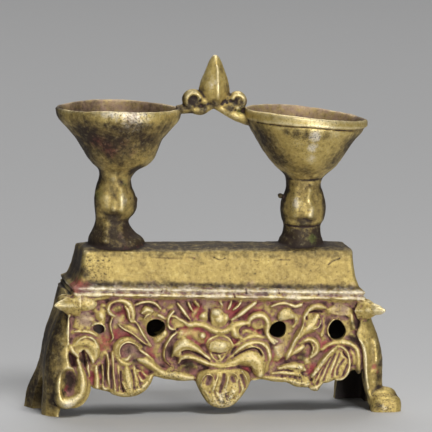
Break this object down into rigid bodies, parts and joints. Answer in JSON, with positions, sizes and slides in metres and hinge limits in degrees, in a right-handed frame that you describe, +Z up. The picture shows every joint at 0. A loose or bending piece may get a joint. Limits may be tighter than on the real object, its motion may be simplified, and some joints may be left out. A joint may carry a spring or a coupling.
{
  "type": "twin-cup altar oil lamp",
  "caption": "Cast brass altar lamp: spouted oil cups on turned stems, joined by a bridge with a bud, on a hollow table with a carved apron and flared feet.",
  "frame": {"origin": "middle of the lamp's box, at floor level, under the feet", "axes": "+X to the lamp's own left along the table, as seen on the right from the carved front; -Y out of the carved front; +Z up"},
  "size_m": [0.1098, 0.0362, 0.1054],
  "materials": {
    "brass": "worn old brass: olive-gold on the high places, purple-brown and dark brown in the recesses, traces of red-pink pigment in the crevices"
  },
  "bodies": {
    "root": {"oil_lamp": "brass"}
  },
  "joints": []
}
